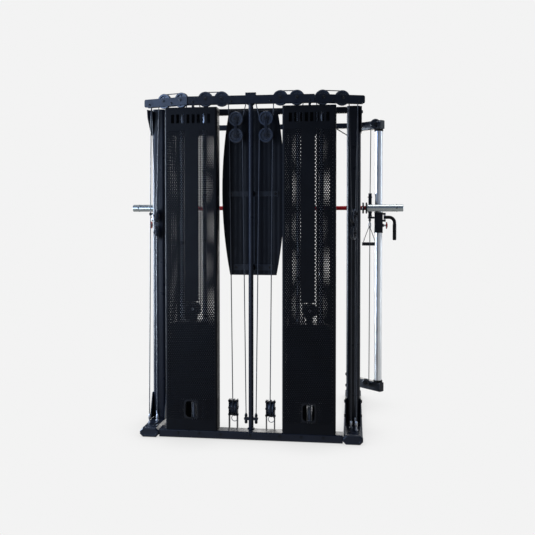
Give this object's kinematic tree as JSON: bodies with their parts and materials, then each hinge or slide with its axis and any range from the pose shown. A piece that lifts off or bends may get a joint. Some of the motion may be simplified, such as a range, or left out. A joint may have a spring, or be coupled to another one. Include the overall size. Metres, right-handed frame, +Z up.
{
  "type": "functional trainer",
  "caption": "Free-standing gym machine with shrouded weight stacks, adjustable cable pulleys on chrome columns and a guided press bar.",
  "frame": {"origin": "on the floor, at the middle of the footprint", "axes": "+Z up, +Y towards the user's side, -Y towards the weight towers, +X along the press bar"},
  "size_m": [1.912, 1.15, 2.103],
  "materials": {
    "frame_paint": "satin black powder coat with a blue tint",
    "cap_paint": "satin dark blue-grey end cap",
    "shroud_paint": "matt black perforated sheet",
    "rod_steel": "polished guide rod",
    "plate_iron": "black painted weight plates",
    "zinc": "zinc plated pin",
    "cable_coat": "nylon coated wire rope",
    "pulley_plastic": "black moulded nylon",
    "chrome": "polished chrome",
    "red_paint": "satin red paint",
    "grip_rubber": "black moulded rubber",
    "board_paint": "satin black sheet with a blue tint"
  },
  "bodies": {
    "root": {"rear_base_beam": "frame_paint", "top_pulley_beam": "frame_paint", "top_cross_beam": "frame_paint", "front_top_beam": "frame_paint", "centre_post": "frame_paint", "exercise_board": "board_paint", "board_bracket": "frame_paint", "left_foot": "frame_paint", "left_foot_cap": "cap_paint", "left_rear_upright": "frame_paint", "left_front_frame": "frame_paint", "left_rear_shroud": "shroud_paint", "left_front_shroud": "shroud_paint", "left_guide_rods": "rod_steel", "left_weight_stack": "plate_iron", "left_stack_cable": "cable_coat", "left_low_block": "pulley_plastic", "left_column_post": "chrome", "left_bar_rod": "rod_steel", "right_foot": "frame_paint", "right_foot_cap": "cap_paint", "right_rear_upright": "frame_paint", "right_front_frame": "frame_paint", "right_rear_shroud": "shroud_paint", "right_front_shroud": "shroud_paint", "right_guide_rods": "rod_steel", "right_weight_stack": "plate_iron", "right_stack_cable": "cable_coat", "right_low_block": "pulley_plastic", "right_column_post": "chrome", "right_bar_rod": "rod_steel"},
    "left_stack": {"left_stack_head": "plate_iron"},
    "left_pin": {"left_stack_pin": "zinc"},
    "left_centre_block": {"left_centre_block": "pulley_plastic"},
    "left_outer_block": {"left_outer_block": "pulley_plastic"},
    "left_carriage": {"left_carriage": "frame_paint"},
    "left_pop_pin": {"left_pop_pin": "red_paint"},
    "left_handle": {"left_carriage_handle": "grip_rubber"},
    "left_swivel": {"left_swivel_pulley": "frame_paint"},
    "left_grip": {"left_hand_grip": "grip_rubber"},
    "left_sleeve": {"left_bar_sleeve": "chrome"},
    "left_top_pulley_1": {"left_top_pulley_1": "pulley_plastic"},
    "left_top_pulley_2": {"left_top_pulley_2": "pulley_plastic"},
    "left_top_pulley_3": {"left_top_pulley_3": "pulley_plastic"},
    "left_top_pulley_4": {"left_top_pulley_4": "pulley_plastic"},
    "right_stack": {"right_stack_head": "plate_iron"},
    "right_pin": {"right_stack_pin": "zinc"},
    "right_centre_block": {"right_centre_block": "pulley_plastic"},
    "right_outer_block": {"right_outer_block": "pulley_plastic"},
    "right_carriage": {"right_carriage": "frame_paint"},
    "right_pop_pin": {"right_pop_pin": "red_paint"},
    "right_handle": {"right_carriage_handle": "grip_rubber"},
    "right_swivel": {"right_swivel_pulley": "frame_paint"},
    "right_grip": {"right_hand_grip": "grip_rubber"},
    "right_sleeve": {"right_bar_sleeve": "chrome"},
    "right_top_pulley_1": {"right_top_pulley_1": "pulley_plastic"},
    "right_top_pulley_2": {"right_top_pulley_2": "pulley_plastic"},
    "right_top_pulley_3": {"right_top_pulley_3": "pulley_plastic"},
    "right_top_pulley_4": {"right_top_pulley_4": "pulley_plastic"},
    "press_bar": {"press_bar": "red_paint"}
  },
  "joints": [
    {"name": "press_bar_slide", "type": "slide", "parent": "root", "child": "press_bar", "axis": [0, 0, 1], "range_m": [-1, 0.45]},
    {"name": "left_stack_lift", "type": "slide", "parent": "root", "child": "left_stack", "axis": [0, 0, 1], "range_m": [0, 1], "deforming": ["left_stack_cable"]},
    {"name": "left_pin_pull", "type": "slide", "parent": "left_stack", "child": "left_pin", "axis": [0, 1, 0], "range_m": [0, 0.05]},
    {"name": "left_centre_block_slide", "type": "slide", "parent": "root", "child": "left_centre_block", "axis": [0, 0, 1], "range_m": [-1, 0]},
    {"name": "left_outer_block_slide", "type": "slide", "parent": "root", "child": "left_outer_block", "axis": [0, 0, 1], "range_m": [-0.225, 0.5]},
    {"name": "left_carriage_slide", "type": "slide", "parent": "root", "child": "left_carriage", "axis": [0, 0, 1], "range_m": [-0.9, 0.42]},
    {"name": "left_pop_pin_pull", "type": "slide", "parent": "left_carriage", "child": "left_pop_pin", "axis": [-1, 0, 0], "range_m": [0, 0.012], "stiffness_N_per_m": 600},
    {"name": "left_handle_turn", "type": "hinge", "parent": "left_carriage", "child": "left_handle", "pos_m": [-0.833, 0.275, 1.339], "axis": [0, 0, 1], "range_deg": [0, 90]},
    {"name": "left_swivel_turn", "type": "hinge", "parent": "left_carriage", "child": "left_swivel", "pos_m": [-0.731, 0.267, 1.35], "axis": [0, 0, 1], "range_deg": [-85, 0]},
    {"name": "left_grip_pull", "type": "slide", "parent": "left_swivel", "child": "left_grip", "axis": [0, 1, 0], "range_m": [0, 2]},
    {"name": "left_sleeve_spin", "type": "hinge", "parent": "press_bar", "child": "left_sleeve", "pos_m": [-0.83, 0.195, 1.403], "axis": [1, 0, 0], "continuous": true},
    {"name": "left_top_pulley_1_spin", "type": "hinge", "parent": "root", "child": "left_top_pulley_1", "pos_m": [-0.179, -0.495, 2.057], "axis": [0, 1, 0], "range_deg": [0, 2870]},
    {"name": "left_top_pulley_2_spin", "type": "hinge", "parent": "root", "child": "left_top_pulley_2", "pos_m": [-0.2785, -0.495, 2.057], "axis": [0, 1, 0], "range_deg": [0, 2870]},
    {"name": "left_top_pulley_3_spin", "type": "hinge", "parent": "root", "child": "left_top_pulley_3", "pos_m": [-0.431, -0.48094, 2.057], "axis": [0.2924, 0.9563, 0], "range_deg": [-650, 1440]},
    {"name": "left_top_pulley_4_spin", "type": "hinge", "parent": "root", "child": "left_top_pulley_4", "pos_m": [-0.547, -0.44547, 2.057], "axis": [0.2924, 0.9563, 0], "range_deg": [-650, 1440]},
    {"name": "right_stack_lift", "type": "slide", "parent": "root", "child": "right_stack", "axis": [0, 0, 1], "range_m": [0, 1], "deforming": ["right_stack_cable"]},
    {"name": "right_pin_pull", "type": "slide", "parent": "right_stack", "child": "right_pin", "axis": [0, 1, 0], "range_m": [0, 0.05]},
    {"name": "right_centre_block_slide", "type": "slide", "parent": "root", "child": "right_centre_block", "axis": [0, 0, 1], "range_m": [-1, 0]},
    {"name": "right_outer_block_slide", "type": "slide", "parent": "root", "child": "right_outer_block", "axis": [0, 0, 1], "range_m": [-0.225, 0.5]},
    {"name": "right_carriage_slide", "type": "slide", "parent": "root", "child": "right_carriage", "axis": [0, 0, 1], "range_m": [-0.9, 0.42]},
    {"name": "right_pop_pin_pull", "type": "slide", "parent": "right_carriage", "child": "right_pop_pin", "axis": [1, 0, 0], "range_m": [0, 0.012], "stiffness_N_per_m": 600},
    {"name": "right_handle_turn", "type": "hinge", "parent": "right_carriage", "child": "right_handle", "pos_m": [0.833, 0.275, 1.339], "axis": [0, 0, 1], "range_deg": [0, 90]},
    {"name": "right_swivel_turn", "type": "hinge", "parent": "right_carriage", "child": "right_swivel", "pos_m": [0.731, 0.267, 1.35], "axis": [0, 0, 1], "range_deg": [0, 85]},
    {"name": "right_grip_pull", "type": "slide", "parent": "right_swivel", "child": "right_grip", "axis": [0, 1, 0], "range_m": [0, 2]},
    {"name": "right_sleeve_spin", "type": "hinge", "parent": "press_bar", "child": "right_sleeve", "pos_m": [0.83, 0.195, 1.403], "axis": [1, 0, 0], "continuous": true},
    {"name": "right_top_pulley_1_spin", "type": "hinge", "parent": "root", "child": "right_top_pulley_1", "pos_m": [0.179, -0.495, 2.057], "axis": [0, 1, 0], "range_deg": [-2870, 0]},
    {"name": "right_top_pulley_2_spin", "type": "hinge", "parent": "root", "child": "right_top_pulley_2", "pos_m": [0.2785, -0.495, 2.057], "axis": [0, 1, 0], "range_deg": [-2870, 0]},
    {"name": "right_top_pulley_3_spin", "type": "hinge", "parent": "root", "child": "right_top_pulley_3", "pos_m": [0.431, -0.48094, 2.057], "axis": [-0.2924, 0.9563, 0], "range_deg": [-1440, 650]},
    {"name": "right_top_pulley_4_spin", "type": "hinge", "parent": "root", "child": "right_top_pulley_4", "pos_m": [0.547, -0.44547, 2.057], "axis": [-0.2924, 0.9563, 0], "range_deg": [-1440, 650]}
  ],
  "couplings": [
    {"joint": "left_top_pulley_1_spin", "follows": "left_stack_lift", "rad_per_m": 50},
    {"joint": "left_top_pulley_2_spin", "follows": "left_stack_lift", "rad_per_m": 50},
    {"joint": "left_top_pulley_3_spin", "follows": "press_bar_slide", "rad_per_m": -25},
    {"joint": "left_top_pulley_4_spin", "follows": "press_bar_slide", "rad_per_m": -25},
    {"joint": "left_centre_block_slide", "follows": "left_stack_lift", "ratio": -1},
    {"joint": "left_grip_pull", "follows": "left_stack_lift", "ratio": 2},
    {"joint": "left_outer_block_slide", "follows": "press_bar_slide", "ratio": -0.5},
    {"joint": "right_top_pulley_1_spin", "follows": "right_stack_lift", "rad_per_m": -50},
    {"joint": "right_top_pulley_2_spin", "follows": "right_stack_lift", "rad_per_m": -50},
    {"joint": "right_top_pulley_3_spin", "follows": "press_bar_slide", "rad_per_m": 25},
    {"joint": "right_top_pulley_4_spin", "follows": "press_bar_slide", "rad_per_m": 25},
    {"joint": "right_centre_block_slide", "follows": "right_stack_lift", "ratio": -1},
    {"joint": "right_grip_pull", "follows": "right_stack_lift", "ratio": 2},
    {"joint": "right_outer_block_slide", "follows": "press_bar_slide", "ratio": -0.5}
  ]
}
